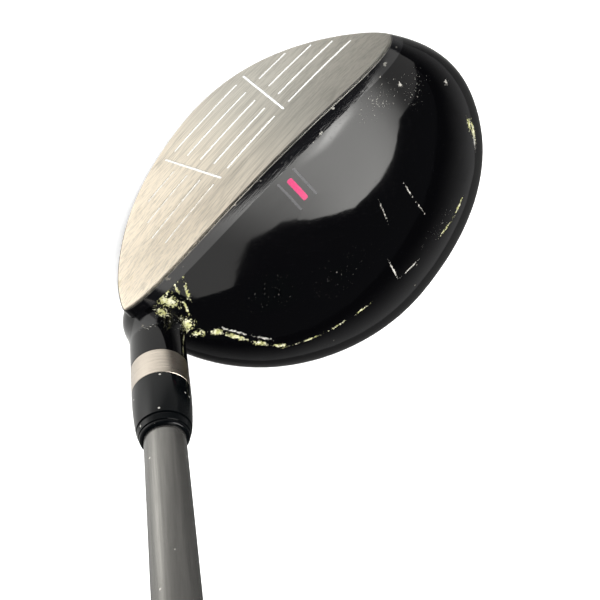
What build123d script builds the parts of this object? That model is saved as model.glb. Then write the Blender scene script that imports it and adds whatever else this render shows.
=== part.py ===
"""A fairway-style hybrid golf club, right handed, standing in its address pose.

Millimetres, +Z up. The face looks along -Y, the toe points along -X and the shaft leans towards +X.
The origin is the centre of the flat spot on the sole that the club rests on.
"""

from build123d import *
from math import atan2, cos, degrees, hypot, pi, radians, sin
import os

os.makedirs("parts", exist_ok=True)

# ---- head, overall --------------------------------------------------------------------------
head_depth = 82.8  # leading edge to the rearmost point
toe_reach = 59.2  # origin to the toe
heel_reach = 49.0  # origin to the heel of the bare head, without the neck's flare
crown_height = 34.3  # highest point of the crown
face_setback = 24.0  # origin to the foot of the face
rear_x = -14.0  # the rearmost point stands towards the toe
rear_z = 17.0  # height of the rearmost point
sole_sink = 0.5  # how much of the curved sole the flat spot takes off

# ---- face -----------------------------------------------------------------------------------
loft_deg = 22.8
bulge_radius = 306.0
face_thickness = 2.4
face_edge_round = 0.9
groove_width = 0.5
divider_width = 0.65
groove_depth = 0.35
paint_thickness = 0.22
groove_first = 6.33  # height of the lowest groove, measured up the face
groove_pitch = 3.9
groove_rows = 5
centre_half = 11.45  # half length of the lowest centre groove
centre_taper = 0.19  # how much that half length loses for each millimetre up the face
divider_gap = 3.0  # centre groove's end to the divider line
side_gap = 2.3  # divider line to the side grooves

# ---- shells ---------------------------------------------------------------------------------
shell_wall = 1.1
parting_front = 20.6  # height of the crown seam above the face's foot
parting_slope_y = -0.045
parting_slope_x = -0.02
mark_depth = 0.12

# ---- hosel and shaft ------------------------------------------------------------------------
lie_deg = 59.8
shaft_foot_x = 34.7  # where the shaft's axis meets the ground
shaft_foot_y = -1.3
bore_bottom = 19.0  # stations along the shaft's axis, from the ground
neck_split = 30.0
neck_top = 38.3
flare_swell = 1.45  # how much wider than the neck the flare is at its station
flare_station = 21.5
flare_foot = 11.2
shaft_tip_radius = 4.25
bond_gap = 0.1  # epoxy between the shaft and the hosel
neck_wall = 1.9  # wall of the hosel above the head
tube_wall = 1.25  # wall of the hosel inside the head
ring_length = 7.35
ferrule_length = 13.2
line_share = 0.79  # where the turned line stands along the ferrule
ferrule_lip = 0.85  # wall of the ferrule at its top band
tip_parallel = 100.0  # length of the shaft's tip before it begins to taper
shaft_tip_bore = 2.3
shaft_butt_radius = 7.6
shaft_butt_bore = 6.4
club_length = 1030.0  # ground to the end of the grip, along the shaft
slide_fit = 0.05  # radial clearance of the ring and the ferrule on the shaft

# ---- grip -----------------------------------------------------------------------------------
grip_length = 268.0
grip_butt_radius = 13.2
grip_mouth_wall = 1.3
tape_thickness = 0.15
cap_thickness = 5.0
vent_radius = 1.5

# ---- sole weight ----------------------------------------------------------------------------
weight_radius = 6.0
weight_height = 7.5
weight_x = -8.0
weight_y = 34.0
weight_fit = 0.05
boss_wall = 2.0
socket_width = 4.0
socket_depth = 2.6

# ---- small pieces ---------------------------------------------------------------------------
neck_zone_radius = 11.0  # part of the crown that the body keeps around the neck
plug_length = 3.0
tip_weight_length = 16.0
cork_length = 14.0
glue_x = 0.0
glue_y = 6.0
glue_length = 44.0
glue_width = 26.0
glue_depth = 1.3
mark_x = 2.2
mark_y = -4.0
mark_bar_width = 1.5
mark_bar_length = 6.0
mark_line_width = 0.6
mark_line_length = 8.0
mark_line_gap = 2.6

ring_points = 28  # points of each cross-section of the head
rear_turns = 14  # cross-sections of the head behind the origin
rear_stop = 0.9985  # share of the rear's distance where the last cross-section stands
below = 2.0  # how far cutting shapes start under the ground

# ---- derived places -------------------------------------------------------------------------
face_foot = Vector(0, -face_setback, 0)
face_up = Vector(0, sin(radians(loft_deg)), cos(radians(loft_deg)))
face_in = Vector(0, cos(radians(loft_deg)), -sin(radians(loft_deg)))
rear_y = head_depth - face_setback
widest_toe_y = rear_y - 0.43 * head_depth
widest_heel_y = -6.0
crown_peak_y = 12.0
peak_x = -18.0

bore_radius = shaft_tip_radius + bond_gap
neck_radius = bore_radius + neck_wall
tube_radius = bore_radius + tube_wall
flare_radius = neck_radius + flare_swell
slide_radius = shaft_tip_radius + slide_fit
ferrule_top_radius = shaft_tip_radius + ferrule_lip

foot = Vector(shaft_foot_x, shaft_foot_y, 0)
shaft_dir = Vector(cos(radians(lie_deg)), 0, sin(radians(lie_deg)))
shaft_axis = Axis(foot, shaft_dir)
radial_dir = Vector(sin(radians(lie_deg)), 0, -cos(radians(lie_deg)))
turning_plane = Plane(origin=foot, x_dir=radial_dir, z_dir=(0, -1, 0))
ring_top = neck_top + ring_length
ferrule_top = ring_top + ferrule_length
shaft_top = club_length - cap_thickness
grip_mouth = club_length - grip_length


def blend(value, start, end):
    """Share of the way from start to end, kept between 0 and 1."""
    return min(1.0, max(0.0, (value - start) / (end - start)))


def quarter(share, power):
    """Height of a unit superellipse quarter at a share of its half width."""
    return (1.0 - min(1.0, abs(share)) ** power) ** (1.0 / power)


def toe_edge(y):
    """Outline of the head's widest line on the toe side."""
    if y < widest_toe_y:
        return -toe_reach + 0.0141 * (widest_toe_y - y) ** 2
    share = (y - widest_toe_y) / (rear_y - widest_toe_y)
    return rear_x - (toe_reach + rear_x) * quarter(share, 2.25)


def heel_edge(y):
    """Outline of the head's widest line on the heel side."""
    if y < widest_heel_y:
        return heel_reach - 0.0085 * (widest_heel_y - y) ** 2
    share = (y - widest_heel_y) / (rear_y - widest_heel_y)
    return rear_x + (heel_reach - rear_x) * quarter(share, 1.82)


def crown_line(y):
    """Height of the crown along the head."""
    if y < crown_peak_y:
        return crown_height - 0.0093 * (crown_peak_y - y) ** 2
    share = (y - crown_peak_y) / (rear_y - crown_peak_y)
    return rear_z + (crown_height - rear_z) * quarter(share, 2.0)


def sole_line(y):
    """Height of the sole along the head."""
    if y < 0:
        return -sole_sink + 0.0028 * y**2
    return -sole_sink + (rear_z + sole_sink) * (1.0 - quarter(y / rear_y, 2.4))


def section_ring(y, wall):
    """Points of the head's closed cross-section at y, shrunk by a wall towards the head's middle."""
    forward = blend(y, rear_y, -12.0)
    ahead = max(0.0, -12.0 - y)
    toe_z = rear_z + 6.5 * forward**1.5 - 0.35 * ahead
    heel_z = rear_z + 3.5 * forward - 0.3 * ahead
    top_x = rear_x + (peak_x - rear_x) * forward
    sole_x = rear_x * (1.0 - forward)
    near_face = blend(y, 30.0, -12.0)
    powers = {
        (1, 1): 2.1 - 0.4 * near_face,
        (-1, 1): 2.15 + 0.45 * near_face,
        (-1, -1): 2.2 - 0.12 * near_face,
        (1, -1): 2.2 - 0.55 * near_face,
    }
    points = []
    for step in range(ring_points):
        angle = 2 * pi * (step + 0.5) / ring_points
        side = 1 if cos(angle) > 0 else -1
        level = 1 if sin(angle) > 0 else -1
        power = powers[(side, level)]
        middle_x = top_x if level > 0 else sole_x
        edge_x = heel_edge(y) if side > 0 else toe_edge(y)
        edge_z = heel_z if side > 0 else toe_z
        end_z = crown_line(y) if level > 0 else sole_line(y)
        x = middle_x + (edge_x - middle_x) * abs(cos(angle)) ** (2 / power)
        z = edge_z + (end_z - edge_z) * abs(sin(angle)) ** (2 / power)
        points.append(shrink(Vector(x, y, z), wall))
    return points


def shrink(point, wall):
    """Move a point of the head's outside towards the middle of the head by about one wall."""
    share_x = wall / toe_reach
    share_y = wall / rear_y
    share_z = wall / rear_z
    return Vector(
        point.X - (point.X - rear_x) * share_x,
        point.Y - max(0.0, point.Y) * share_y,
        point.Z - (point.Z - rear_z) * share_z,
    )


def section_stations():
    """Places along Y of the head's cross-sections, closer together towards the rear."""
    front = [-face_setback - 6.0 + 6.0 * step for step in range(5)]
    back = [rear_y * sin(pi / 2 * step / rear_turns) for step in range(rear_turns)]
    return front + back + [rear_y * rear_stop]


def head_envelope(wall):
    """The smooth pebble that the head is cut from, shrunk by a wall."""
    knots = [step / ring_points for step in range(ring_points + 1)]
    with BuildPart(mode=Mode.PRIVATE) as pebble:
        for y in section_stations():
            ring = section_ring(y, wall)
            level = ring[0].Y
            with BuildSketch(Plane.XZ.offset(-level)):
                with BuildLine():
                    add(Edge.make_spline([(p.X, p.Z) for p in ring], periodic=True, parameters=knots))
                make_face()
        loft()
    return pebble.part


def behind_face(depth):
    """All that lies behind the bulged face, or behind a surface a depth further in."""
    with BuildPart(mode=Mode.PRIVATE) as drum:
        seat = face_foot + face_in * bulge_radius - face_up * 60.0
        with BuildSketch(Plane(origin=seat, z_dir=face_up)):
            Circle(bulge_radius - depth)
        extrude(amount=220.0)
    return drum.part


def turned(profile):
    """A solid of revolution about the shaft's axis, from (radius, station) corners."""
    with BuildPart(mode=Mode.PRIVATE) as body:
        with BuildSketch(turning_plane):
            with BuildLine():
                Polyline(*profile, close=True)
            make_face()
        revolve(axis=shaft_axis)
    return body.part


def face_prism(x_from, x_to, height_from, height_to, width):
    """A straight bar of one width through the face, between two points given as (x, height up the face)."""
    run = hypot(x_to - x_from, height_to - height_from)
    turn = degrees(atan2(height_to - height_from, x_to - x_from))
    middle = Vector((x_from + x_to) / 2, 0, 0) + face_foot + face_up * ((height_from + height_to) / 2)
    bar_plane = Plane(origin=middle, x_dir=(1, 0, 0), z_dir=-face_in)
    with BuildPart(mode=Mode.PRIVATE) as bar:
        with BuildSketch(bar_plane):
            SlotOverall(run + width, width, rotation=turn)
        extrude(amount=12.0, both=True)
    return bar.part


def centre_half_at(height):
    """Half length of a centre groove at a height up the face."""
    return centre_half - centre_taper * (height - groove_first)


def groove_bars():
    """Groove bars as named groups of (x from, x to, height from, height to, width)."""
    rows = [groove_first + groove_pitch * row for row in range(groove_rows)]
    centre = []
    for height in rows:
        half = centre_half_at(height)
        centre.append((-half, half, height, height, groove_width))
    toe_ends = [-25.6, -31.0, -34.6, -36.9]
    heel_ends = [25.5, 29.5, 32.0, 31.0]
    toe = []
    heel = []
    for row, toe_end, heel_end in zip(rows[1:], toe_ends, heel_ends):
        start = centre_half_at(row) + divider_gap + side_gap
        toe.append((toe_end, -start, row, row, groove_width))
        heel.append((start, heel_end, row, row, groove_width))
    low = rows[0] - 0.3
    high = rows[-1] + 0.3
    low_x = centre_half_at(low) + divider_gap
    high_x = centre_half_at(high) + divider_gap
    dividers = [(-low_x, -high_x, low, high, divider_width), (low_x, high_x, low, high, divider_width)]
    return {"centre": centre, "toe": toe, "heel": heel, "divider": dividers}


# ---- solids that the head's pieces are cut from ----------------------------------------------
outside = head_envelope(0.0)
inside = head_envelope(shell_wall)
mark_floor = head_envelope(mark_depth)
front_drum = behind_face(0.0)
plate_drum = behind_face(face_thickness)

with BuildPart() as flare:
    with BuildSketch(turning_plane):
        with BuildLine():
            neck_end = (neck_radius, neck_split)
            foot_end = (0.0, flare_foot)
            Polyline(foot_end, (0.0, neck_split), neck_end)
            Spline(
                neck_end,
                (flare_radius, flare_station),
                (0.78 * flare_radius, (flare_station + 2 * flare_foot) / 3),
                foot_end,
                tangents=((0.0, -1.0), (-1.0, 0.0)),
            )
        make_face()
    revolve(axis=shaft_axis)

with BuildPart() as head:
    add(outside)
    add(flare.part)
    add(front_drum, mode=Mode.INTERSECT)
    split(bisect_by=Plane.XY, keep=Keep.TOP)
    front_face = head.faces().filter_by(GeomType.CYLINDER).sort_by(SortBy.AREA)[-1]
    fillet(front_face.edges(), radius=face_edge_round)



tube_low = bore_bottom - plug_length
tube_socket = turned([(0, tube_low), (tube_radius, tube_low), (tube_radius, neck_split), (0, neck_split)])

# ---- face ------------------------------------------------------------------------------------
groove_floor = behind_face(groove_depth)
paint_top = behind_face(groove_depth - paint_thickness)
bars = {}
for group, rows in groove_bars().items():
    bars[group] = [face_prism(*row) for row in rows]

with BuildPart() as face_plate:
    add(head.part)
    add(plate_drum, mode=Mode.SUBTRACT)
    for group in bars.values():
        for bar in group:
            add(bar - groove_floor, mode=Mode.SUBTRACT)
    add(tube_socket, mode=Mode.SUBTRACT)
face_plate.part.label = "face_plate"
export_step(face_plate.part, "parts/face_plate.step")

for group, prisms in bars.items():
    with BuildPart() as paint:
        for prism in prisms:
            add((prism & paint_top) - groove_floor)
    paint.part.label = f"{group}_line_paint"
    export_step(paint.part, f"parts/{group}_line_paint.step")

# ---- body, crown and what is set into them ---------------------------------------------------
seam = Plane(
    origin=(0, -face_setback, parting_front),
    x_dir=(1, 0, parting_slope_x),
    z_dir=(-parting_slope_x, -parting_slope_y, 1),
)
with BuildPart() as above_seam:
    with BuildSketch(seam):
        Rectangle(4 * toe_reach, 4 * head_depth)
    extrude(amount=2 * crown_height)

neck_zone = turned([(0, 0), (neck_zone_radius, 0), (neck_zone_radius, neck_top), (0, neck_top)])

with BuildPart() as crown_zone:
    add(above_seam.part)
    add(neck_zone, mode=Mode.SUBTRACT)

with BuildPart() as shell:
    add(head.part)
    add(plate_drum, mode=Mode.INTERSECT)
    add(inside, mode=Mode.SUBTRACT)
    add(tube_socket, mode=Mode.SUBTRACT)

with BuildPart() as body_shell:
    add(shell.part)
    add(crown_zone.part, mode=Mode.SUBTRACT)
    with BuildPart(mode=Mode.PRIVATE) as boss:
        with BuildSketch(Plane.XY.offset(-below)):
            with Locations((weight_x, weight_y)):
                Circle(weight_radius + boss_wall)
        extrude(amount=weight_height + boss_wall + below)
        add(outside, mode=Mode.INTERSECT)
    add(boss.part)
    with BuildSketch(Plane.XY.offset(-below)):
        with Locations((weight_x, weight_y)):
            Circle(weight_radius + weight_fit)
    extrude(amount=weight_height + weight_fit + below, mode=Mode.SUBTRACT)
body_shell.part.label = "body_shell"
export_step(body_shell.part, "parts/body_shell.step")

with BuildPart() as bar_stamp:
    with BuildSketch(Plane.XY.offset(rear_z)):
        with Locations((mark_x, mark_y)):
            RectangleRounded(mark_bar_width, mark_bar_length, mark_bar_width * 0.3)
    extrude(amount=crown_height)

with BuildPart() as line_stamp:
    with BuildSketch(Plane.XY.offset(rear_z)):
        for side in (-1, 1):
            with Locations((mark_x + side * mark_line_gap, mark_y)):
                RectangleRounded(mark_line_width, mark_line_length, mark_line_width * 0.3)
    extrude(amount=crown_height)

with BuildPart() as crown_shell:
    add(shell.part)
    add(crown_zone.part, mode=Mode.INTERSECT)
    add((bar_stamp.part & head.part) - mark_floor, mode=Mode.SUBTRACT)
    add((line_stamp.part & head.part) - mark_floor, mode=Mode.SUBTRACT)
crown_shell.part.label = "crown_shell"
export_step(crown_shell.part, "parts/crown_shell.step")

with BuildPart() as alignment_bar:
    add(bar_stamp.part)
    add(head.part, mode=Mode.INTERSECT)
    add(mark_floor, mode=Mode.SUBTRACT)
alignment_bar.part.label = "alignment_bar"
export_step(alignment_bar.part, "parts/alignment_bar.step")

with BuildPart() as alignment_lines:
    add(line_stamp.part)
    add(head.part, mode=Mode.INTERSECT)
    add(mark_floor, mode=Mode.SUBTRACT)
alignment_lines.part.label = "alignment_lines"
export_step(alignment_lines.part, "parts/alignment_lines.step")

with BuildPart() as sole_weight:
    with BuildSketch(Plane.XY.offset(-below)):
        with Locations((weight_x, weight_y)):
            Circle(weight_radius)
    extrude(amount=weight_height + below)
    add(outside, mode=Mode.INTERSECT)
    with BuildSketch(Plane.XY.offset(-below)):
        with Locations((weight_x, weight_y)):
            RegularPolygon(socket_width / 2, 6, major_radius=False)
    extrude(amount=below + sole_line(weight_y) + socket_depth, mode=Mode.SUBTRACT)
sole_weight.part.label = "sole_weight"
export_step(sole_weight.part, "parts/sole_weight.step")

with BuildPart() as rattle_glue:
    with BuildSketch(Plane.XY.offset(-below)):
        with Locations((glue_x, glue_y)):
            Ellipse(glue_length / 2, glue_width / 2)
    extrude(amount=below + shell_wall - sole_sink + glue_depth)
    add(inside, mode=Mode.INTERSECT)
rattle_glue.part.label = "rattle_glue"
export_step(rattle_glue.part, "parts/rattle_glue.step")

# ---- hosel, ring and ferrule -----------------------------------------------------------------
with BuildPart() as hosel_neck:
    with BuildSketch(turning_plane):
        with BuildLine():
            Polyline(
                (bore_radius, tube_low),
                (tube_radius, tube_low),
                (tube_radius, neck_split),
                (neck_radius, neck_split),
                (neck_radius, neck_top),
                (bore_radius, neck_top),
                close=True,
            )
        make_face()
    revolve(axis=shaft_axis)
hosel_neck.part.label = "hosel_neck"
export_step(hosel_neck.part, "parts/hosel_neck.step")

with BuildPart() as bore_plug:
    add(turned([(0, tube_low), (bore_radius, tube_low), (bore_radius, bore_bottom), (0, bore_bottom)]))
bore_plug.part.label = "bore_plug"
export_step(bore_plug.part, "parts/bore_plug.step")

with BuildPart() as hosel_epoxy:
    with BuildSketch(turning_plane):
        with BuildLine():
            Polyline(
                (shaft_tip_radius, bore_bottom),
                (bore_radius, bore_bottom),
                (bore_radius, neck_top),
                (shaft_tip_radius, neck_top),
                close=True,
            )
        make_face()
    revolve(axis=shaft_axis)
hosel_epoxy.part.label = "hosel_epoxy"
export_step(hosel_epoxy.part, "parts/hosel_epoxy.step")

with BuildPart() as trim_ring:
    with BuildSketch(turning_plane):
        with BuildLine():
            Polyline(
                (slide_radius, neck_top),
                (neck_radius, neck_top),
                (neck_radius, ring_top),
                (slide_radius, ring_top),
                close=True,
            )
        make_face()
    revolve(axis=shaft_axis)
    rims = trim_ring.edges().filter_by(GeomType.CIRCLE).group_by(Edge.radius)[-1]
    chamfer(rims, length=0.15)
trim_ring.part.label = "trim_ring"
export_step(trim_ring.part, "parts/trim_ring.step")

with BuildPart() as ferrule:
    line_low = ring_top + line_share * ferrule_length
    line_high = line_low + 0.45
    band_high = ferrule_top - 1.1
    with BuildSketch(turning_plane):
        with BuildLine():
            start = (neck_radius, ring_top)
            line_edge = (ferrule_top_radius + 0.55, line_low)
            Line((slide_radius, ring_top), start)
            Spline(start, line_edge, tangents=((0.0, 1.0), (-0.14, 1.0)))
            Polyline(
                line_edge,
                (line_edge[0] - 0.3, line_low + 0.1),
                (line_edge[0] - 0.3, line_high),
                (line_edge[0] - 0.1, line_high + 0.12),
                (ferrule_top_radius + 0.12, band_high),
                (ferrule_top_radius - 0.12, band_high + 0.12),
                (ferrule_top_radius - 0.12, band_high + 0.3),
                (ferrule_top_radius, band_high + 0.42),
            )
            Spline(
                (ferrule_top_radius, band_high + 0.42),
                (slide_radius + 0.15, ferrule_top),
                tangents=((-0.1, 1.0), (-1.0, 0.15)),
            )
            Polyline(
                (slide_radius + 0.15, ferrule_top),
                (slide_radius, ferrule_top),
                (slide_radius, ring_top),
            )
        make_face()
    revolve(axis=shaft_axis)
ferrule.part.label = "ferrule"
export_step(ferrule.part, "parts/ferrule.step")

# ---- shaft and what is inside it -------------------------------------------------------------
taper_low = bore_bottom + tip_parallel
taper_high = grip_mouth - 10.0
with BuildPart() as shaft:
    with BuildSketch(turning_plane):
        with BuildLine():
            Polyline(
                (shaft_tip_bore, bore_bottom),
                (shaft_tip_radius, bore_bottom),
                (shaft_tip_radius, taper_low),
                (shaft_butt_radius, taper_high),
                (shaft_butt_radius, shaft_top),
                (shaft_butt_bore, shaft_top),
                (shaft_butt_bore, taper_high),
                (shaft_tip_bore, taper_low),
                close=True,
            )
        make_face()
    revolve(axis=shaft_axis)
shaft.part.label = "shaft"
export_step(shaft.part, "parts/shaft.step")

weight_end = bore_bottom + tip_weight_length
with BuildPart() as tip_weight:
    add(
        turned(
            [
                (0, bore_bottom),
                (shaft_tip_bore - slide_fit, bore_bottom),
                (shaft_tip_bore - slide_fit, weight_end - 1.0),
                (shaft_tip_bore - 0.8, weight_end),
                (0, weight_end),
            ]
        )
    )
tip_weight.part.label = "tip_weight"
export_step(tip_weight.part, "parts/tip_weight.step")

cork_end = weight_end + cork_length
with BuildPart() as tip_cork:
    add(turned([(0, weight_end), (shaft_tip_bore, weight_end), (shaft_tip_bore, cork_end), (0, cork_end)]))
tip_cork.part.label = "tip_cork"
export_step(tip_cork.part, "parts/tip_cork.step")

# ---- grip ------------------------------------------------------------------------------------
tape_low = grip_mouth + 6.0
tape_radius = shaft_butt_radius + tape_thickness
with BuildPart() as grip_tape:
    with BuildSketch(turning_plane):
        with BuildLine():
            Polyline(
                (shaft_butt_radius, tape_low),
                (tape_radius, tape_low),
                (tape_radius, shaft_top),
                (shaft_butt_radius, shaft_top),
                close=True,
            )
        make_face()
    revolve(axis=shaft_axis)
grip_tape.part.label = "grip_tape"
export_step(grip_tape.part, "parts/grip_tape.step")

with BuildPart() as grip:
    with BuildSketch(turning_plane):
        with BuildLine():
            mouth = (tape_radius + grip_mouth_wall, grip_mouth + 0.6)
            butt = (grip_butt_radius - 0.4, shaft_top - 3.0)
            Polyline((shaft_butt_radius, tape_low), (shaft_butt_radius, grip_mouth))
            Line((shaft_butt_radius, grip_mouth), (mouth[0] - 0.6, grip_mouth))
            Line((mouth[0] - 0.6, grip_mouth), mouth)
            Spline(mouth, butt, tangents=((0.006, 1.0), (0.02, 1.0)))
            Line(butt, (grip_butt_radius, shaft_top))
            Polyline(
                (grip_butt_radius, shaft_top),
                (tape_radius, shaft_top),
                (tape_radius, tape_low),
                (shaft_butt_radius, tape_low),
            )
        make_face()
    revolve(axis=shaft_axis)
grip.part.label = "grip"
export_step(grip.part, "parts/grip.step")

with BuildPart() as grip_cap:
    with BuildSketch(turning_plane):
        with BuildLine():
            Polyline(
                (vent_radius, shaft_top),
                (grip_butt_radius, shaft_top),
                (grip_butt_radius, club_length - 2.4),
            )
            ThreePointArc(
                (grip_butt_radius, club_length - 2.4),
                (grip_butt_radius - 0.7, club_length - 0.7),
                (grip_butt_radius - 2.4, club_length),
            )
            Polyline(
                (grip_butt_radius - 2.4, club_length),
                (vent_radius, club_length),
                (vent_radius, shaft_top),
            )
        make_face()
    revolve(axis=shaft_axis)
grip_cap.part.label = "grip_cap"
export_step(grip_cap.part, "parts/grip_cap.step")
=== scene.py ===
"""Looks of a fairway-style hybrid golf club, dressed and detailed around its CAD frame.

Every length is in metres, in the frame of the CAD: +Z up, the face towards -Y, the toe towards -X.
"""

import logging
import math
from dataclasses import dataclass
from enum import Enum

import bpy
from mathutils import Euler, Matrix, Vector


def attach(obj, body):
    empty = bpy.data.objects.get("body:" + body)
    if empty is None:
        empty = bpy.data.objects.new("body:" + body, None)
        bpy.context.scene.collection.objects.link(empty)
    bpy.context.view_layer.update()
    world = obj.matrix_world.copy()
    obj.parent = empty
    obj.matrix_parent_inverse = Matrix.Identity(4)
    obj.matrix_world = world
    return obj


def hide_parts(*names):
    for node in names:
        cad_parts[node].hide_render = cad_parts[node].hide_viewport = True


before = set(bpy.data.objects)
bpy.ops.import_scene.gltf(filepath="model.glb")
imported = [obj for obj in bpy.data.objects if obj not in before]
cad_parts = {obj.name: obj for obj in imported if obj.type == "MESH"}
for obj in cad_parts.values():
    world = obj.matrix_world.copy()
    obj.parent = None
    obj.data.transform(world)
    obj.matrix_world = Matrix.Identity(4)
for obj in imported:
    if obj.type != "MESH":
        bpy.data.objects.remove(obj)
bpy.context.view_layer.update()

LOG = logging.getLogger("club")
MM = 0.001
Colour = tuple[float, float, float]
Point = tuple[float, float, float]
Socket = bpy.types.NodeSocket


@dataclass(frozen=True)
class ShaftLine:
    """The shaft's axis in the address pose."""

    foot: Point = (34.7 * MM, -1.3 * MM, 0.0)
    lie: float = math.radians(59.8)

    @property
    def direction(self) -> Vector:
        """Unit vector up the shaft."""
        return Vector((math.cos(self.lie), 0.0, math.sin(self.lie)))

    def at(self, station: float) -> Vector:
        """Point of the axis at a distance from the ground along the shaft."""
        return Vector(self.foot) + self.direction * station

    @property
    def tilt(self) -> Euler:
        """Turn that lays local Z along the shaft."""
        return Euler((0.0, math.pi / 2 - self.lie, 0.0))


@dataclass(frozen=True)
class FacePlane:
    """The plane that touches the bulged face at its foot."""

    foot: Point = (0.0, -24.0 * MM, 0.0)
    loft: float = math.radians(22.8)
    bulge: float = 306.0 * MM


SHAFT_LINE = ShaftLine()
FACE = FacePlane()


class Shader:
    """A material's node tree, with short calls for the nodes that the finishes share."""

    def __init__(self, name: str) -> None:
        """Start a material.

        Args:
            name: The material's name.
        """
        self.material = bpy.data.materials.new(name)
        self.material.use_nodes = True
        self.tree = self.material.node_tree
        self.surface = self.tree.nodes["Principled BSDF"]
        self.place = self.node("ShaderNodeTexCoord").outputs["Object"]

    def node(self, kind: str) -> bpy.types.Node:
        """Add a node of a kind."""
        return self.tree.nodes.new(kind)

    def feed(self, socket: Socket, value: object) -> None:
        """Link a socket's value, or set it where the value is a number or a tuple.

        Args:
            socket: The input socket.
            value: An output socket, a number or a tuple.
        """
        if isinstance(value, Socket):
            self.tree.links.new(value, socket)
        else:
            socket.default_value = value

    def math(self, operation: str, *values: object, clamp: bool = False) -> Socket:
        """Join values with a Math node.

        Args:
            operation: The Math node's operation.
            values: Its inputs, sockets or numbers.
            clamp: Whether the result stays between 0 and 1.

        Returns:
            The result's socket.
        """
        node = self.node("ShaderNodeMath")
        node.operation = operation
        node.use_clamp = clamp
        for socket, value in zip(node.inputs, values):
            self.feed(socket, value)
        return node.outputs[0]

    def mapped(
        self, location: Point = (0, 0, 0), turn: Point = (0, 0, 0), scale: Point = (1, 1, 1)
    ) -> Socket:
        """Move object coordinates to a centre, then turn and scale them.

        Args:
            location: The pattern's centre.
            turn: Euler angles of the pattern's axes, in radians.
            scale: Factors along the turned axes.

        Returns:
            The socket of the new coordinates.
        """
        shift = self.node("ShaderNodeVectorMath")
        shift.operation = "SUBTRACT"
        self.feed(shift.inputs[0], self.place)
        self.feed(shift.inputs[1], tuple(location))
        spin = self.node("ShaderNodeVectorRotate")
        spin.rotation_type = "EULER_XYZ"
        spin.invert = True
        self.feed(spin.inputs["Vector"], shift.outputs[0])
        self.feed(spin.inputs["Rotation"], tuple(turn))
        sized = self.node("ShaderNodeVectorMath")
        sized.operation = "MULTIPLY"
        self.feed(sized.inputs[0], spin.outputs[0])
        self.feed(sized.inputs[1], tuple(scale))
        return sized.outputs[0]

    def axis(self, vector: object, letter: str) -> Socket:
        """Split one coordinate off a vector.

        Args:
            vector: The vector's socket.
            letter: X, Y or Z.

        Returns:
            The coordinate's socket.
        """
        split = self.node("ShaderNodeSeparateXYZ")
        self.feed(split.inputs[0], vector)
        return split.outputs[letter]

    def length(self, vector: object) -> Socket:
        """Measure a vector.

        Args:
            vector: The vector's socket.

        Returns:
            The socket of its length.
        """
        node = self.node("ShaderNodeVectorMath")
        node.operation = "LENGTH"
        self.feed(node.inputs[0], vector)
        return node.outputs["Value"]

    def noise(self, vector: object, scale: float, detail: float = 3.0, rough: float = 0.55) -> Socket:
        """Fractal noise between 0 and 1 about a half.

        Args:
            vector: The coordinates.
            scale: Cells for each metre of the coordinates.
            detail: Octaves.
            rough: Share of the next octave.

        Returns:
            The noise's socket.
        """
        node = self.node("ShaderNodeTexNoise")
        self.feed(node.inputs["Vector"], vector)
        self.feed(node.inputs["Scale"], scale)
        self.feed(node.inputs["Detail"], detail)
        self.feed(node.inputs["Roughness"], rough)
        return node.outputs["Fac"]

    def cells(self, vector: object, scale: float) -> bpy.types.Node:
        """Divide coordinates into random cells, each with its own colour and middle.

        Args:
            vector: The coordinates.
            scale: Cells for each metre of the coordinates.

        Returns:
            The node, for its Distance and Color.
        """
        node = self.node("ShaderNodeTexVoronoi")
        self.feed(node.inputs["Vector"], vector)
        self.feed(node.inputs["Scale"], scale)
        return node

    def step(self, value: object, low: float, high: float, start: float = 0.0, end: float = 1.0) -> Socket:
        """Smooth step of a value from start to end between two limits.

        Args:
            value: The value's socket.
            low: Where the step starts.
            high: Where it ends.
            start: Result below low.
            end: Result above high.

        Returns:
            The result's socket.
        """
        node = self.node("ShaderNodeMapRange")
        node.interpolation_type = "SMOOTHSTEP"
        for name, number in (("From Min", low), ("From Max", high), ("To Min", start), ("To Max", end)):
            self.feed(node.inputs[name], number)
        self.feed(node.inputs["Value"], value)
        return node.outputs["Result"]

    def blend(self, share: object, first: object, second: object) -> Socket:
        """Mix of two colours, given as sockets or as red, green and blue.

        Args:
            share: How much of the second.
            first: Colour at 0.
            second: Colour at 1.

        Returns:
            The mixed colour's socket.
        """
        node = self.node("ShaderNodeMix")
        node.data_type = "RGBA"
        self.feed(node.inputs["Factor"], share)
        for name, colour in (("A", first), ("B", second)):
            socket = next(s for s in node.inputs if s.name == name and s.type == "RGBA")
            self.feed(socket, (*colour, 1.0) if isinstance(colour, tuple) else colour)
        return next(s for s in node.outputs if s.type == "RGBA")

    def between(self, share: object, first: object, second: object) -> Socket:
        """Mix of two numbers, given as sockets or as numbers.

        Args:
            share: How much of the second.
            first: Number at 0.
            second: Number at 1.

        Returns:
            The mixed number's socket.
        """
        node = self.node("ShaderNodeMix")
        self.feed(node.inputs["Factor"], share)
        for name, number in (("A", first), ("B", second)):
            socket = next(s for s in node.inputs if s.name == name and s.type == "VALUE")
            self.feed(socket, number)
        return next(s for s in node.outputs if s.type == "VALUE")

    def bump(self, height: object, strength: float, distance: float) -> None:
        """Roughen the surface by a height, on top of bumps that are already there.

        Args:
            height: The height's socket.
            strength: Share of the full effect.
            distance: Height of a full step, in metres.
        """
        node = self.node("ShaderNodeBump")
        self.feed(node.inputs["Strength"], strength)
        self.feed(node.inputs["Distance"], distance)
        self.feed(node.inputs["Height"], height)
        if self.surface.inputs["Normal"].is_linked:
            self.feed(node.inputs["Normal"], self.surface.inputs["Normal"].links[0].from_socket)
        self.feed(self.surface.inputs["Normal"], node.outputs[0])

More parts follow.
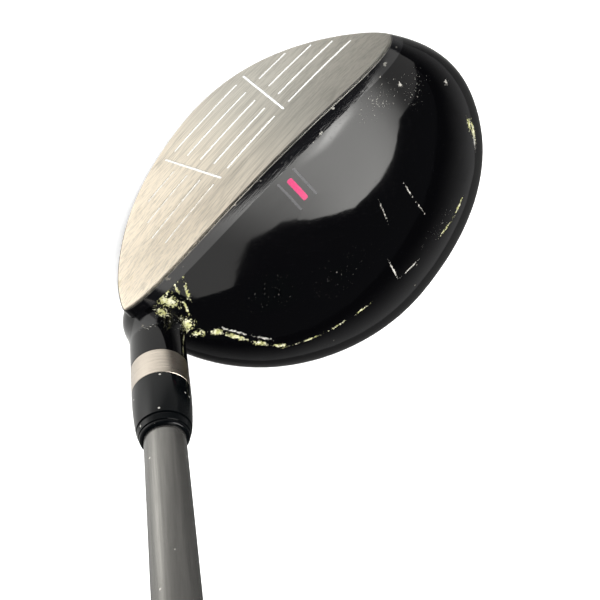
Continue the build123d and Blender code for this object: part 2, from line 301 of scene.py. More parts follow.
    def set(self, **values: object) -> None:
        """Set or link the surface's sockets.

        Args:
            values: Numbers, colours or sockets, named as the sockets are with underscores for spaces.
        """
        for name, value in values.items():
            socket = self.surface.inputs[name.replace("_", " ")]
            if isinstance(value, tuple) and len(value) == 3:
                value = (*value, 1.0)
            self.feed(socket, value)


class WearKind(Enum):
    """How the paint has gone, by how much of it is gone in the middle of a place."""

    CHIPPED = 1.0
    SCRAPED = 0.86
    SCRATCHED = 1.05
    SPECKED = 0.3


@dataclass(frozen=True)
class Wear:
    """A worn place of the paint, in millimetres.

    Its reach is half its size along its own axes, and its turn, in degrees, is about Z.
    """

    kind: WearKind
    centre: Point
    reach: Point
    turn: float = 0.0
    amount: float = 1.0
    pale: bool = False


@dataclass(frozen=True)
class Trail:
    """A line of worn places along the head, given by the corners it passes, in millimetres."""

    kind: WearKind
    corners: tuple[Point, ...]
    width: float
    amount: float = 1.0
    pale: bool = False

    def places(self) -> list[Wear]:
        """Worn places from each corner to the next.

        Returns:
            One place for each stretch.
        """
        found = []
        for start, end in zip(self.corners, self.corners[1:]):
            run = Vector(end) - Vector(start)
            middle = (Vector(start) + Vector(end)) / 2
            reach = (run.length * 0.62, self.width, 3.0)
            turn = math.degrees(math.atan2(run.y, run.x))
            found.append(Wear(self.kind, tuple(middle), reach, turn, self.amount, self.pale))
        return found


HEAD_PLACES: tuple[Wear, ...] = (
    Wear(WearKind.CHIPPED, (38.2, -11.2, 24.4), (3.2, 4.8, 4.0), 25),
    Wear(WearKind.CHIPPED, (40.9, -6.4, 24.6), (2.2, 4.6, 4.0), 20),
    Wear(WearKind.CHIPPED, (35.4, -11.8, 25.0), (2.0, 3.4, 3.0), 25, 0.9),
    Wear(WearKind.CHIPPED, (39.8, -9.4, 24.0), (2.6, 3.6, 3.0), 25),
    Wear(WearKind.CHIPPED, (47.4, -7.6, 26.0), (2.8, 2.2, 3.0), 0, 0.9, True),
    Wear(WearKind.CHIPPED, (41.6, 1.2, 25.0), (2.3, 3.4, 4.0), 25),
    Wear(WearKind.CHIPPED, (-49.0, 27.2, 28.8), (1.5, 5.4, 3.0), -14),
    Wear(WearKind.CHIPPED, (-47.9, 30.0, 28.8), (0.9, 4.4, 3.0), -20, 0.9, True),
    Wear(WearKind.CHIPPED, (-43.0, -8.0, 27.0), (1.7, 1.4, 2.0), 0, 1.0, True),
    Wear(WearKind.CHIPPED, (-24.9, -9.4, 29.8), (1.7, 1.1, 2.0), 0, 1.2, True),
    Wear(WearKind.CHIPPED, (-8.1, -9.4, 29.8), (1.8, 1.1, 2.0), 0, 1.2, True),
    Wear(WearKind.CHIPPED, (-0.4, -10.2, 29.2), (1.6, 0.9, 2.0), 0, 1.2, True),
    Wear(WearKind.SPECKED, (-27.0, -3.6, 31.2), (10.0, 4.4, 4.0), -10, 1.0, True),
    Wear(WearKind.SPECKED, (-37.0, 2.0, 31.0), (8.0, 6.0, 4.0), 0, 0.7, True),
    Wear(WearKind.CHIPPED, (-34.9, -1.9, 31.4), (0.9, 1.5, 2.0), 20, 0.9, True),
    Wear(WearKind.CHIPPED, (-47.6, 8.8, 30.0), (1.6, 1.3, 2.0), 0, 0.8, True),
    Wear(WearKind.SPECKED, (6.0, 21.0, 32.6), (20.0, 10.0, 5.0), -20, 0.16, True),
    Wear(WearKind.SPECKED, (24.0, 10.0, 31.0), (14.0, 10.0, 5.0), -20, 0.16, True),
    Wear(WearKind.SPECKED, (44.6, -2.6, 26.6), (5.0, 6.0, 5.0), 0, 1.0, True),
    Wear(WearKind.SPECKED, (-24.0, 37.0, 31.0), (12.0, 5.0, 5.0), 0, 0.5, True),
    Wear(WearKind.CHIPPED, (43.6, -5.6, 25.0), (1.8, 3.0, 4.0), 10, 0.8),
    Wear(WearKind.CHIPPED, (-48.4, 24.0, 29.0), (1.6, 3.4, 3.0), -8),
)

HEAD_TRAILS: tuple[Trail, ...] = (
    Trail(
        WearKind.SCRAPED,
        ((27.6, -12.4, 25.4), (33.2, -11.6, 25.0), (35.2, -7.6, 25.8), (37.8, -2.2, 26.0)),
        0.9,
    ),
    Trail(WearKind.SCRATCHED, ((36.6, -10.6, 25.0), (38.2, -5.0, 25.4), (40.0, 0.6, 25.4)), 0.5),
    Trail(
        WearKind.SCRAPED,
        ((41.6, -2.6, 25.0), (42.7, 4.0, 24.8), (39.6, 6.6, 26.0), (36.8, 9.7, 26.8)),
        1.4,
        1.1,
    ),
    Trail(
        WearKind.SCRAPED,
        ((37.4, 9.0, 26.6), (34.0, 16.8, 27.1), (31.1, 22.2, 27.3), (27.4, 27.2, 27.4)),
        1.0,
        1.1,
    ),
    Trail(WearKind.SCRATCHED, ((37.6, 6.4, 27.2), (32.8, 16.0, 27.8), (29.4, 22.0, 28.0)), 0.5, 0.9, True),
    Trail(
        WearKind.SCRAPED,
        ((27.2, 27.4, 27.6), (18.9, 32.0, 28.9), (11.5, 34.5, 29.9), (4.3, 36.3, 30.6)),
        0.6,
        0.95,
    ),
    Trail(WearKind.SCRAPED, ((-21.4, 40.4, 30.5), (-28.7, 40.4, 30.1), (-36.2, 38.2, 29.7)), 0.9),
    Trail(
        WearKind.SCRATCHED, ((-20.0, 15.5, 34.1), (-20.2, 22.6, 33.7), (-21.3, 30.0, 33.0)), 0.38, 0.8, True
    ),
    Trail(
        WearKind.SCRATCHED, ((-5.3, 28.5, 32.7), (-5.1, 38.1, 30.9), (-14.6, 39.3, 30.9)), 0.45, 0.95, True
    ),
    Trail(WearKind.SCRATCHED, ((-12.0, 12.0, 34.2), (-10.4, 22.0, 33.6)), 0.35, 0.6, True),
)


@dataclass(frozen=True)
class GlossPaint:
    """Black lacquer over steel, worn through in places."""

    name: str = "gloss_black_lacquer"
    colour: Colour = (0.0012, 0.0012, 0.0015)
    primer: Colour = (0.42, 0.42, 0.17)
    bare: Colour = (0.62, 0.6, 0.54)
    cream: Colour = (0.72, 0.7, 0.5)
    dust_tone: Colour = (0.22, 0.21, 0.17)
    dust_amount: float = 0.55
    sheen_rough: float = 0.045
    swirl_rough: float = 0.16
    worn_rough: float = 0.6
    grain_gain: float = 3.4
    level_gain: float = 1.2
    gone_from: float = 2.32
    gone_to: float = 2.42
    step_down: float = 0.06 * MM
    wear: tuple[Wear, ...] = ()

    def worn(self, shader: Shader, grain: Socket, pale: bool) -> Socket:
        """Mask of all the worn places of one tone.

        Args:
            shader: The material being made.
            grain: Noise that breaks up the places' edges.
            pale: Whether the pale places are meant, or else the primer-coloured ones.

        Returns:
            The mask's socket, 1 where the paint is gone.
        """
        level = 0.0
        for spot in self.wear:
            if spot.pale != pale:
                continue
            place = shader.node("ShaderNodeMapping")
            place.vector_type = "TEXTURE"
            shader.feed(place.inputs["Vector"], shader.place)
            shader.feed(place.inputs["Location"], tuple(c * MM for c in spot.centre))
            shader.feed(place.inputs["Rotation"], (0.0, 0.0, math.radians(spot.turn)))
            shader.feed(place.inputs["Scale"], tuple(r * MM for r in spot.reach))
            ball = shader.node("ShaderNodeTexGradient")
            ball.gradient_type = "SPHERICAL"
            shader.feed(ball.inputs["Vector"], place.outputs[0])
            inside = shader.math("MULTIPLY", ball.outputs["Fac"], spot.kind.value * spot.amount)
            level = shader.math("MAXIMUM", level, inside)
        ragged = shader.math("MULTIPLY", grain, self.grain_gain)
        total = shader.math("ADD", ragged, shader.math("MULTIPLY", level, self.level_gain))
        broken = shader.step(total, self.gone_from, self.gone_to)
        return shader.math("MULTIPLY", broken, shader.step(level, 0.01, 0.06))

    def build(self) -> bpy.types.Material:
        """Make the material.

        Returns:
            The finished material.
        """
        shader = Shader(self.name)
        swirl = shader.noise(shader.mapped(scale=(1.0, 0.12, 0.12), turn=(0, 0, 0.9)), 5200.0, 2.0)
        haze = shader.noise(shader.place, 46.0, 4.0)
        dust_cells = shader.cells(shader.place, 330.0)
        picked = shader.step(shader.axis(dust_cells.outputs["Color"], "X"), 0.9, 0.91)
        dot = shader.step(dust_cells.outputs["Distance"], 0.05, 0.12, 1.0, 0.0)
        patchy = shader.step(shader.noise(shader.place, 38.0, 2.0), 0.5, 0.64)
        dust = shader.math("MULTIPLY", shader.math("MULTIPLY", dot, picked), patchy)
        colour = shader.blend(shader.math("MULTIPLY", dust, self.dust_amount), self.colour, self.dust_tone)
        rough = shader.step(haze, 0.35, 0.7, self.sheen_rough, self.sheen_rough + 0.05)
        rough = shader.between(shader.step(swirl, 0.62, 0.72), rough, self.swirl_rough)
        gone = 0.0
        if self.wear:
            grain = shader.noise(shader.place, 1750.0, 4.0, 0.74)
            yellow = self.worn(shader, grain, False)
            pale = self.worn(shader, grain, True)
            mottle = shader.noise(shader.place, 900.0, 3.0)
            cream = shader.blend(shader.step(mottle, 0.4, 0.65), self.primer, self.cream)
            shaded = tuple(0.5 * c for c in self.bare)
            steel = shader.blend(shader.step(mottle, 0.35, 0.65), shaded, self.bare)
            colour = shader.blend(yellow, colour, cream)
            colour = shader.blend(pale, colour, steel)
            gone = shader.math("MAXIMUM", yellow, pale)
            rough = shader.between(gone, rough, self.worn_rough)
        shader.set(Base_Color=colour, Roughness=rough, Specular_IOR_Level=0.22)
        peel = shader.noise(shader.place, 520.0, 1.0)
        shader.bump(peel, 0.05, 0.00001)
        if self.wear:
            shader.bump(shader.math("SUBTRACT", 1.0, gone), 0.6, self.step_down)
        return shader.material


@dataclass(frozen=True)
class BrushedFace:
    """Satin face steel, brushed from heel to toe, with painted edges; its colour carries a painted warm
    reflection at the heel and painted shade towards the toe.
    """

    name: str = "brushed_face_steel"
    # Heel and toe tones are the steel's grey with painted light: a painted warm reflection at the heel,
    # painted shade at the toe.
    heel: Colour = (0.8, 0.71, 0.58)
    middle: Colour = (0.56, 0.54, 0.485)
    toe: Colour = (0.5, 0.48, 0.43)
    paint: Colour = (0.0035, 0.0035, 0.0042)
    brush_shade: Colour = (0.22, 0.21, 0.19)
    dirt: Colour = (0.42, 0.36, 0.19)
    rim_shade: Colour = (0.1, 0.1, 0.095)
    paint_behind: float = 0.32 * MM
    paint_behind_low_heel: float = 0.04 * MM
    paint_fade: float = 0.12 * MM

    def build(self) -> bpy.types.Material:
        """Make the material.

        Returns:
            The finished material.
        """
        shader = Shader(self.name)
        face_turn = (-FACE.loft, 0.0, 0.0)
        flat = shader.mapped(FACE.foot, face_turn)
        across = shader.axis(flat, "X")
        up = shader.axis(flat, "Z")
        sag = shader.math("DIVIDE", shader.math("MULTIPLY", across, across), 2 * FACE.bulge)
        depth = shader.math("SUBTRACT", shader.axis(flat, "Y"), sag)
        fine = shader.noise(shader.mapped(FACE.foot, face_turn, (0.012, 1.0, 1.0)), 3600.0, 3.0, 0.7)
        broad = shader.noise(shader.mapped(FACE.foot, face_turn, (0.05, 1.0, 1.0)), 900.0, 3.0, 0.6)
        cloud = shader.noise(shader.place, 60.0, 3.0)
        # Painted reflection and shade: the steel turns lighter and warmer towards the heel and darker towards
        # the toe.
        tone = shader.blend(shader.step(across, -0.018, 0.03), self.middle, self.heel)
        tone = shader.blend(shader.step(across, -0.045, 0.002, 1.0, 0.0), tone, self.toe)
        streaks = shader.math("ADD", shader.math("MULTIPLY", fine, 0.9), shader.math("MULTIPLY", broad, 0.3))
        uneven = shader.math("ADD", streaks, shader.math("MULTIPLY", cloud, 0.2))
        shade = shader.step(uneven, 0.5, 0.82, 0.55, 0.0)
        tone = shader.blend(shade, tone, self.brush_shade)
        stain = shader.noise(shader.mapped(FACE.foot, face_turn, (0.3, 1.0, 1.0)), 480.0, 5.0, 0.7)
        heelward = shader.step(across, 0.012, 0.045)
        dirty = shader.math("MULTIPLY", shader.step(stain, 0.6, 0.7), shader.math("MULTIPLY", heelward, 0.5))
        tone = shader.blend(dirty, tone, self.dirt)
        heel_side = shader.step(across, 0.018, 0.036)
        low_heel = shader.math("MULTIPLY", heel_side, shader.step(up, 0.027, 0.021, 0.0, 1.0))
        limit = shader.between(low_heel, self.paint_behind, self.paint_behind_low_heel)
        over = shader.math("SUBTRACT", depth, limit)
        painted = shader.step(over, 0.0, self.paint_fade)
        nick = shader.step(shader.noise(shader.place, 420.0, 3.0), 0.66, 0.7)
        painted = shader.math("MULTIPLY", painted, shader.math("SUBTRACT", 1.0, nick))
        edge = shader.step(depth, 0.0001, 0.00022)
        tone = shader.blend(shader.math("MULTIPLY", edge, 0.8), tone, self.rim_shade)
        shader.set(
            Base_Color=shader.blend(painted, tone, self.paint),
            Metallic=shader.between(painted, 1.0, 0.0),
            Roughness=shader.between(painted, shader.step(fine, 0.3, 0.75, 0.3, 0.46), 0.06),
            Anisotropic=0.5,
        )
        shader.bump(streaks, 0.35, 0.00002)
        return shader.material


@dataclass(frozen=True)
class ScorePaint:
    """White paint in the grooves, which the heel's end has lost in part."""

    name: str = "score_paint_white"
    white: Colour = (0.92, 0.92, 0.9)
    worn: Colour = (0.58, 0.53, 0.44)

    def build(self) -> bpy.types.Material:
        """Make the material.

        Returns:
            The finished material.
        """
        shader = Shader(self.name)
        across = shader.axis(shader.place, "X")
        spots = shader.noise(shader.place, 700.0, 4.0, 0.7)
        fade = shader.step(across, 0.006, 0.02)
        loss = shader.math("MULTIPLY", fade, shader.step(spots, 0.36, 0.6, 0.95, 0.4))
        flaked = shader.math("MAXIMUM", loss, shader.step(spots, 0.66, 0.72, 0.0, 0.6))
        shader.set(Base_Color=shader.blend(flaked, self.white, self.worn), Roughness=0.5)
        shader.bump(spots, 0.3, 0.00003)
        return shader.material


@dataclass(frozen=True)
class TurnedSteel:
    """Steel brushed round the shaft's axis."""

    name: str
    colour: Colour
    rough: float = 0.3
    tarnish: Colour = (0.2, 0.16, 0.11)

    def build(self) -> bpy.types.Material:
        """Make the material.

        Returns:
            The finished material.
        """
        shader = Shader(self.name)
        along = shader.mapped(SHAFT_LINE.foot, tuple(SHAFT_LINE.tilt), (0.03, 0.03, 1.0))
        lines = shader.noise(along, 5200.0, 3.0, 0.7)
        spots = shader.noise(shader.place, 700.0, 4.0, 0.7)
        dark = tuple(0.78 * c for c in self.colour)
        tone = shader.blend(shader.step(lines, 0.35, 0.7), self.colour, dark)
        tone = shader.blend(shader.step(spots, 0.66, 0.74, 0.0, 0.55), tone, self.tarnish)
        shader.set(Base_Color=tone, Metallic=1.0, Anisotropic=0.4)
        shader.set(Roughness=shader.step(lines, 0.3, 0.7, self.rough - 0.04, self.rough + 0.1))
        shader.bump(lines, 0.3, 0.00002)
        return shader.material


@dataclass(frozen=True)
class MouldedPlastic:
    """Polished or satin moulded plastic with handling marks and dust."""

    name: str
    colour: Colour
    rough: float
    dust: float = 0.4
    dust_tone: Colour = (0.45, 0.44, 0.4)

    def build(self) -> bpy.types.Material:
        """Make the material.

        Returns:
            The finished material.
        """
        shader = Shader(self.name)
        cell = shader.cells(shader.place, 640.0)
        chosen = shader.step(shader.axis(cell.outputs["Color"], "Y"), 0.8, 0.81)
        dot = shader.step(cell.outputs["Distance"], 0.1, 0.2, 1.0, 0.0)
        speck = shader.math("MULTIPLY", shader.math("MULTIPLY", dot, chosen), self.dust)
        rub = shader.noise(shader.place, 160.0, 4.0)
        shader.set(Base_Color=shader.blend(speck, self.colour, self.dust_tone), Specular_IOR_Level=0.2)
        shader.set(Roughness=shader.step(rub, 0.35, 0.7, self.rough, self.rough + 0.12))
        shader.bump(shader.noise(shader.place, 900.0, 2.0), 0.08, 0.00002)
        return shader.material


@dataclass(frozen=True)
class ShaftLacquer:
    """Satin charcoal lacquer over rolled carbon, with fine lines along the shaft and dust."""

    name: str = "satin_charcoal_lacquer"
    colour: Colour = (0.17, 0.166, 0.156)
    dust_tone: Colour = (0.6, 0.58, 0.52)

    def build(self) -> bpy.types.Material:
        """Make the material.

        Returns:
            The finished material.
        """
        shader = Shader(self.name)
        along = shader.mapped(SHAFT_LINE.foot, tuple(SHAFT_LINE.tilt), (1.0, 1.0, 0.04))
        lines = shader.noise(along, 2600.0, 2.0)
        cell = shader.cells(shader.place, 480.0)
        chosen = shader.step(shader.axis(cell.outputs["Color"], "Z"), 0.86, 0.87)
        dot = shader.step(cell.outputs["Distance"], 0.07, 0.15, 1.0, 0.0)
        speck = shader.math("MULTIPLY", shader.math("MULTIPLY", dot, chosen), 0.8)
        tone = shader.blend(shader.step(lines, 0.35, 0.7), self.colour, tuple(0.86 * c for c in self.colour))
        shader.set(Base_Color=shader.blend(speck, tone, self.dust_tone))
        shader.set(Metallic=shader.between(speck, 0.78, 0.0))
        shader.set(Roughness=shader.step(shader.noise(shader.place, 240.0), 0.3, 0.7, 0.2, 0.27))
        shader.bump(lines, 0.05, 0.00001)
        return shader.material


@dataclass(frozen=True)
class Rubber:
    """Matt grip rubber, fine grained and a little dusty in patches."""

    name: str = "grip_rubber"
    colour: Colour = (0.012, 0.012, 0.013)
    dust_tone: Colour = (0.06, 0.057, 0.05)

    def build(self) -> bpy.types.Material:
        """Make the material.

        Returns:
            The finished material.
        """
        shader = Shader(self.name)
        grain = shader.noise(shader.place, 2400.0, 4.0, 0.7)
        dusty = shader.noise(shader.place, 42.0, 5.0, 0.65)
        tone = shader.blend(shader.step(dusty, 0.5, 0.75, 0.0, 0.5), self.colour, self.dust_tone)
        shader.set(Base_Color=tone, Roughness=shader.step(grain, 0.3, 0.7, 0.62, 0.82))
        shader.bump(grain, 0.5, 0.00006)
        return shader.material


@dataclass(frozen=True)
class Mottled:
    """A plain material of two close tones and a grain, such as cork, tape, resin, brass or paint."""

    name: str
    light: Colour
    dark: Colour
    grain: float
    rough: float
    metallic: float = 0.0
    relief: float = 0.00004

    def build(self) -> bpy.types.Material:
        """Make the material.

        Returns:
            The finished material.
        """
        shader = Shader(self.name)
        spots = shader.noise(shader.place, self.grain, 4.0, 0.65)
        shader.set(Base_Color=shader.blend(shader.step(spots, 0.35, 0.7), self.light, self.dark))
        shader.set(Roughness=shader.step(spots, 0.3, 0.7, self.rough, min(1.0, self.rough + 0.15)))
        shader.set(Metallic=self.metallic)
        shader.bump(spots, 0.4, self.relief)
        return shader.material


def dress(node: str, material: bpy.types.Material) -> None:
    """Give a CAD node a material in place of its own.

    Args:
        node: The node's name.
        material: The finish.
    """
    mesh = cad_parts[node].data
    mesh.materials.clear()
    mesh.materials.append(material)


def select_only(obj: bpy.types.Object) -> None:
    """Make an object the only selected one, and the active one.

    Args:
        obj: The object.
    """
    if bpy.context.mode != "OBJECT":
        bpy.ops.object.mode_set(mode="OBJECT")
    bpy.ops.object.select_all(action="DESELECT")
    obj.select_set(True)
    bpy.context.view_layer.objects.active = obj


def settle(obj: bpy.types.Object) -> None:
    """Move an object's place into its mesh, so that it sits at the origin."""
    select_only(obj)
    bpy.ops.object.transform_apply(location=True, rotation=True, scale=True)


@dataclass
class Head:
    """The hollow head: face, crown, body, weight and what is inside."""

    lacquered: tuple[str, ...] = ("crown_shell", "body_shell", "hosel_neck")
    scored: tuple[str, ...] = (
        "centre_line_paint", "toe_line_paint", "heel_line_paint", "divider_line_paint",
    )

    def dress(self) -> None:
        """Give the head's nodes their finishes."""
        trails = tuple(place for trail in HEAD_TRAILS for place in trail.places())
        lacquer = GlossPaint(wear=HEAD_PLACES + trails).build()
        for node in self.lacquered:
            dress(node, lacquer)
        dress("face_plate", BrushedFace().build())
        white = ScorePaint().build()
        for node in self.scored:
            dress(node, white)
        dress("alignment_bar", MouldedPlastic("mark_pink", (0.45, 0.02, 0.11), 0.12, 0.1).build())
        dress("alignment_lines", MouldedPlastic("mark_grey", (0.05, 0.05, 0.053), 0.1, 0.1).build())
        dress("sole_weight", TurnedSteel("weight_steel", (0.5, 0.5, 0.49), 0.32).build())
        resin = Mottled("rattle_resin", (0.72, 0.66, 0.48), (0.6, 0.53, 0.35), 90.0, 0.25)
        dress("rattle_glue", resin.build())


@dataclass
class Hosel:
    """The hosel's trim ring, ferrule and bond."""

    def dress(self) -> None:
        """Give the hosel's nodes their finishes."""
        # The ring's colour is steel grey with a warm tint that is painted reflection, as at the face's heel.
        dress("trim_ring", TurnedSteel("ring_steel", (0.56, 0.5, 0.43), 0.3).build())
        dress("ferrule", MouldedPlastic("ferrule_black", (0.0015, 0.002, 0.0024), 0.07, 0.9).build())
        dress("bore_plug", MouldedPlastic("plug_plastic", (0.05, 0.05, 0.05), 0.4).build())
        dress("hosel_epoxy", Mottled("epoxy", (0.4, 0.36, 0.26), (0.3, 0.27, 0.19), 300.0, 0.3).build())


@dataclass
class Shaft:
    """The shaft with its tip weight and cork."""

    def dress(self) -> None:
        """Give the shaft's nodes their finishes."""
        dress("shaft", ShaftLacquer().build())
        brass = Mottled("turned_brass", (0.72, 0.5, 0.2), (0.55, 0.36, 0.14), 500.0, 0.25, 1.0)
        dress("tip_weight", brass.build())
        dress("tip_cork", Mottled("cork", (0.5, 0.33, 0.19), (0.25, 0.15, 0.08), 800.0, 0.8).build())


@dataclass
class Grip:
    """The rubber grip with its moulded pads, its cap and the tape under it."""

    mouth: float = 762.0 * MM
    butt: float = 1025.0 * MM
    mouth_radius: float = 9.05 * MM
    butt_radius: float = 13.2 * MM
    wall: float = 1.25 * MM
    sides: int = 40
    rings: int = 110
    bare_rings: int = 4
    plain_every: int = 27
    pad_gap: float = 0.32 * MM
    pad_sink: float = -0.45 * MM

    def rows(self, mesh: bpy.types.Mesh) -> dict[int, int]:
        """Which ring each side face is in, counted from the mouth.

        Args:
            mesh: The sleeve's mesh, still upright about the origin.

        Returns:
            Ring number for each face's index.
        """
        length = self.butt - self.mouth
        return {f.index: int((f.center.z / length + 0.5) * (self.rings + 1)) for f in mesh.polygons}

    def sleeve(self) -> bpy.types.Object:
        """Model the tapered sleeve with its sunk pads.

        Returns:
            The sleeve along Z about the origin.
        """
        bpy.ops.object.select_all(action="DESELECT")
        bpy.ops.mesh.primitive_cylinder_add(
            vertices=self.sides, radius=1.0, depth=self.butt - self.mouth, end_fill_type="NOTHING"
        )
        sleeve = bpy.context.active_object
        sleeve.name = "grip_sleeve"
        mesh = sleeve.data
        heights = [vertex.co.z for vertex in mesh.vertices]
        upright = [
            edge.index
            for edge in mesh.edges
            if abs(heights[edge.vertices[0]] - heights[edge.vertices[1]]) > self.wall
        ]
        self.pick(sleeve, "EDGE", upright)
        bpy.ops.mesh.subdivide(number_cuts=self.rings)
        bpy.ops.object.mode_set(mode="OBJECT")
        middle = (self.mouth_radius + self.butt_radius) / 2
        bpy.ops.transform.resize(value=(middle, middle, 1.0), center_override=(0.0, 0.0, 0.0))
        settle(sleeve)
        taper = sleeve.modifiers.new("taper", "SIMPLE_DEFORM")
        taper.deform_method = "TAPER"
        taper.deform_axis = "Z"
        taper.factor = (self.butt_radius - self.mouth_radius) / middle
        bpy.ops.object.modifier_apply(modifier=taper.name)
        self.mould(sleeve)
        shell = sleeve.modifiers.new("wall", "SOLIDIFY")
        shell.thickness = self.wall
        shell.offset = -1.0
        bpy.ops.object.modifier_apply(modifier=shell.name)
        bpy.ops.object.shade_smooth_by_angle(angle=math.radians(24))
        return sleeve

    def mould(self, sleeve: bpy.types.Object) -> None:
        """Sink the pads in a staggered pattern, and leave plain bands between the fields.

        Args:
            sleeve: The tapered sleeve.
        """
        rows = self.rows(sleeve.data)
        pads = []
        for face in sleeve.data.polygons:
            row = rows[face.index]
            angle = math.degrees(math.atan2(face.center.y, face.center.x))
            turn = int(round(angle * self.sides / 360.0 - 0.5))
            inner = self.bare_rings <= row <= self.rings - self.bare_rings
            if inner and row % self.plain_every and (row + turn) % 2 == 0:
                pads.append(face.index)
        self.pick(sleeve, "FACE", pads)
        bpy.ops.mesh.inset(thickness=self.pad_gap, depth=self.pad_sink, use_individual=True)
        bpy.ops.object.mode_set(mode="OBJECT")
        bands = [
            face.index
            for face in sleeve.data.polygons
            if face.index in rows and face.index not in pads and rows[face.index] % self.plain_every == 0
        ]
        self.pick(sleeve, "FACE", bands)
        bpy.ops.mesh.inset(thickness=self.pad_gap, depth=-self.pad_sink * 0.6)
        bpy.ops.object.mode_set(mode="OBJECT")

    def pick(self, obj: bpy.types.Object, kind: str, chosen: list[int]) -> None:
        """Enter edit mode with only some edges or faces selected.

        Args:
            obj: The object.
            kind: EDGE or FACE.
            chosen: Their indices.
        """
        select_only(obj)
        bpy.ops.object.mode_set(mode="EDIT")
        bpy.ops.mesh.select_mode(type=kind)
        bpy.ops.mesh.select_all(action="DESELECT")
        bpy.ops.object.mode_set(mode="OBJECT")
        items = obj.data.edges if kind == "EDGE" else obj.data.polygons
        for index in chosen:
            items[index].select = True
        bpy.ops.object.mode_set(mode="EDIT")

    def dress(self) -> None:
        """Model the sleeve, lay it along the shaft and give the grip's nodes their finishes."""
        rubber = Rubber().build()
        sleeve = self.sleeve()
        sleeve.rotation_euler = SHAFT_LINE.tilt
        sleeve.location = SHAFT_LINE.at((self.mouth + self.butt) / 2)
        settle(sleeve)
        sleeve.data.materials.append(rubber)
        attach(sleeve, "root")
        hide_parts("grip")
        dress("grip_cap", rubber)
        dress("grip_tape", Mottled("paper_tape", (0.7, 0.64, 0.5), (0.6, 0.54, 0.4), 1500.0, 0.8).build())


@dataclass(frozen=True)
class Lamp:
    """A square soft light that shows neither to the camera nor in reflections."""

    name: str
    at: Point
    size: float
    power: float


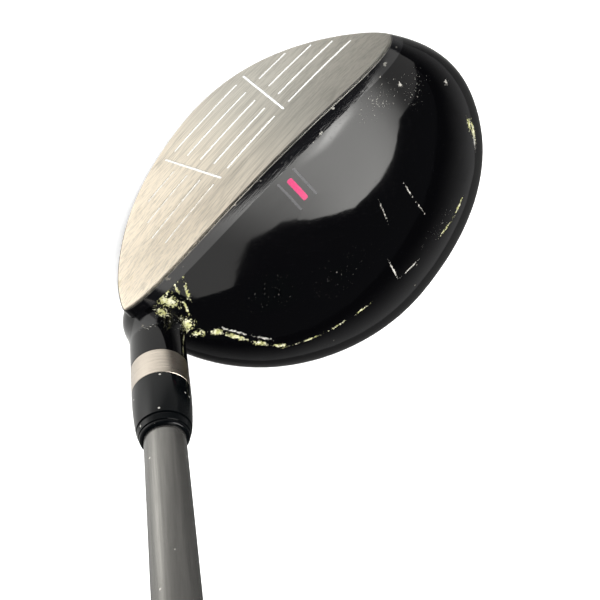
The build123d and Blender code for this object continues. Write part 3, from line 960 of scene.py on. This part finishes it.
@dataclass
class Studio:
    """The pale floor, the soft lights and the camera."""

    floor_size: float = 12.0
    floor_drop: float = 0.1 * MM
    floor_reach: tuple[float, float] = (0.5, 2.0)
    floor_glow: tuple[float, float] = (0.5, 0.95)
    bounce_at: Point = (55.0 * MM, -62.0 * MM, 0.0)
    hot_spot_at: Point = (80.0 * MM, -72.0 * MM, 0.0)
    card_height: float = 1.3
    card_glow: float = 11.2
    window_at: tuple[float, float] = (-0.52, -0.17)
    window_glow: float = 16.0
    band_radius: float = 2.5
    band_height: float = 1.5
    band_glow: float = 0.42
    white: Colour = (1.0, 1.0, 1.0)
    key: Lamp = Lamp("key_light", (-0.9, -1.1, 1.9), 1.6, 75.0)
    fill: Lamp = Lamp("fill_light", (1.2, 0.9, 1.8), 1.8, 66.0)
    head_middle: Point = (0.0, 0.0, 20.0 * MM)
    air_colour: Colour = (0.9, 0.95, 1.0)
    air_glow: float = 0.06
    camera_at: Point = (61.4 * MM, -98.8 * MM, 179.9 * MM)
    aim: Point = (22.1 * MM, 15.2 * MM, 25.0 * MM)
    roll: float = math.radians(115.17)
    lens: float = 48.0
    sensor: float = 36.0
    shift: tuple[float, float] = (0.0453, -0.0036)
    nearest: float = 5.0 * MM

    def floor(self) -> None:
        """Lay a matt white floor at ground level, which glows more where the lamps fall off."""
        bpy.ops.mesh.primitive_plane_add(size=self.floor_size, location=(0.0, 0.0, -self.floor_drop))
        floor = bpy.context.active_object
        floor.name = "studio_floor"
        settle(floor)
        shader = Shader("floor_white")
        shader.set(Base_Color=(0.86, 0.86, 0.855), Roughness=0.9, Specular_IOR_Level=0.1)
        glow = shader.step(shader.length(shader.place), *self.floor_reach, *self.floor_glow)
        shader.set(Emission_Color=self.white, Emission_Strength=glow)
        floor.data.materials.append(shader.material)
        floor.visible_glossy = False

    def bounce(self) -> None:
        """Lay the bright patch of floor in front of the face, which only reflections see."""
        bpy.ops.mesh.primitive_plane_add(size=self.floor_size, location=(0.0, 0.0, -2 * self.floor_drop))
        shader = self.glow("studio_bounce", (1.0, 0.995, 0.97), glossy=True)
        spot = shader.length(shader.mapped(self.bounce_at, scale=(1.0, 1.0, 0.0)))
        hot = shader.length(shader.mapped(self.hot_spot_at, scale=(1.0, 1.0, 0.0)))
        wide = shader.step(spot, 0.0, 0.24, 1.5, 0.45)
        narrow = shader.step(hot, 0.0, 0.055, 2.0, 0.0)
        rear = shader.step(shader.axis(shader.place, "Y"), -0.03, 0.06, 1.0, 0.2)
        shader.set(Emission_Strength=shader.math("MULTIPLY", shader.math("ADD", wide, narrow), rear))

    def card(self) -> None:
        """Hang the overhead card that the crown reflects, with a bright window in it."""
        outline = (
            (-4.2, -0.30), (-0.98, 0.37), (-0.70, 0.33), (-0.56, 0.58), (-0.48, 0.63), (-0.31, 0.58),
            (-0.14, 0.27), (-0.08, 0.10), (0.03, 0.07), (0.10, 0.15), (0.22, 0.33), (0.36, 0.3),
            (0.4, 0.0), (0.2, -0.16), (-0.24, -0.2), (-0.6, -0.14),
        )
        bpy.ops.mesh.primitive_circle_add(vertices=len(outline), radius=1.0, fill_type="NGON")
        for vertex, (x, y) in zip(bpy.context.active_object.data.vertices, outline):
            vertex.co = Vector((x, y, 1.0)) * self.card_height
        shader = self.glow("studio_card", (1.0, 0.99, 0.96), glossy=True)
        along = shader.axis(shader.place, "X")
        toeward = shader.step(along, -1.15, -0.55, 0.1, 1.0)
        heelward = shader.step(along, -0.42, 0.1, 1.0, 0.2)
        even = shader.math("MULTIPLY", shader.math("MULTIPLY", toeward, heelward), self.card_glow)
        middle = (*self.window_at, self.card_height)
        window = shader.length(shader.mapped(middle, scale=(4.6, 11.0, 0.0)))
        pane = shader.step(window, 0.0, 1.0, self.window_glow, 0.0)
        shader.set(Emission_Strength=shader.math("ADD", even, pane))

    def band(self) -> None:
        """Stand a low, dim band of light round the club, which the head's rim reflects."""
        bpy.ops.mesh.primitive_cylinder_add(
            vertices=48,
            radius=self.band_radius,
            depth=self.band_height,
            location=(0.0, 0.0, self.band_height / 2),
            end_fill_type="NOTHING",
        )
        shader = self.glow("studio_band", self.white, glossy=True)
        height = shader.axis(shader.place, "Z")
        shader.set(Emission_Strength=shader.step(height, 0.0, 1.3, self.band_glow, 0.0))

    def backdrop(self) -> None:
        """Close the studio with a white dome that only the camera sees."""
        bpy.ops.mesh.primitive_uv_sphere_add(segments=32, ring_count=16, radius=0.6 * self.floor_size)
        self.glow("studio_backdrop", self.white, glossy=False).set(Emission_Strength=1.0)

    def glow(self, name: str, colour: Colour, glossy: bool) -> Shader:
        """Turn the active object into a glow that either reflections or the camera see.

        Args:
            name: The object's name.
            colour: Colour of the light.
            glossy: Whether reflections see it, or else the camera.

        Returns:
            The glow's material, which still lacks its strength.
        """
        shape = bpy.context.active_object
        shape.name = name
        settle(shape)
        shader = Shader(f"{name}_glow")
        shader.set(Base_Color=(0.0, 0.0, 0.0), Emission_Color=colour)
        shape.data.materials.append(shader.material)
        shape.visible_camera = not glossy
        shape.visible_glossy = glossy
        shape.visible_diffuse = False
        shape.visible_shadow = False
        return shader

    def hang(self, lamp: Lamp) -> None:
        """Hang a lamp so that it looks at the head.

        Args:
            lamp: The lamp.
        """
        data = bpy.data.lights.new(lamp.name, "AREA")
        data.size = lamp.size
        data.energy = lamp.power
        light = bpy.data.objects.new(lamp.name, data)
        bpy.context.scene.collection.objects.link(light)
        light.location = lamp.at
        light.rotation_mode = "QUATERNION"
        light.rotation_quaternion = (Vector(self.head_middle) - Vector(lamp.at)).to_track_quat("-Z", "Y")
        light.visible_camera = False
        light.visible_glossy = False

    def camera(self) -> None:
        """Set the camera close above the heel, looking down on the face and the crown."""
        data = bpy.data.cameras.new("camera")
        data.lens = self.lens
        data.sensor_width = self.sensor
        data.shift_x, data.shift_y = self.shift
        data.clip_start = self.nearest
        data.dof.use_dof = False
        camera = bpy.data.objects.new("camera", data)
        bpy.context.scene.collection.objects.link(camera)
        place = Vector(self.camera_at)
        look = (Vector(self.aim) - place).to_track_quat("-Z", "Y").to_matrix()
        camera.matrix_world = Matrix.Translation(place) @ (look @ Matrix.Rotation(self.roll, 3, "Z")).to_4x4()
        bpy.context.scene.camera = camera

    def air(self) -> None:
        """Fill the studio with a faint even light, and leave the picture's tones as they are."""
        world = bpy.data.worlds.new("studio_air")
        world.use_nodes = True
        background = world.node_tree.nodes["Background"]
        background.inputs["Color"].default_value = (*self.air_colour, 1.0)
        background.inputs["Strength"].default_value = self.air_glow
        bpy.context.scene.world = world
        bpy.context.scene.view_settings.view_transform = "Standard"

    def build(self) -> None:
        """Make the studio."""
        self.floor()
        self.bounce()
        self.card()
        self.band()
        self.backdrop()
        self.hang(self.key)
        self.hang(self.fill)
        self.camera()
        self.air()


def main() -> None:
    """Build the club's looks and the studio, and report each piece."""
    logging.basicConfig(level=logging.INFO, format="%(message)s")
    Studio().build()
    for part in (Head(), Hosel(), Shaft(), Grip()):
        part.dress()
        LOG.info("dressed %s", type(part).__name__)


if __name__ == "__main__":
    main()
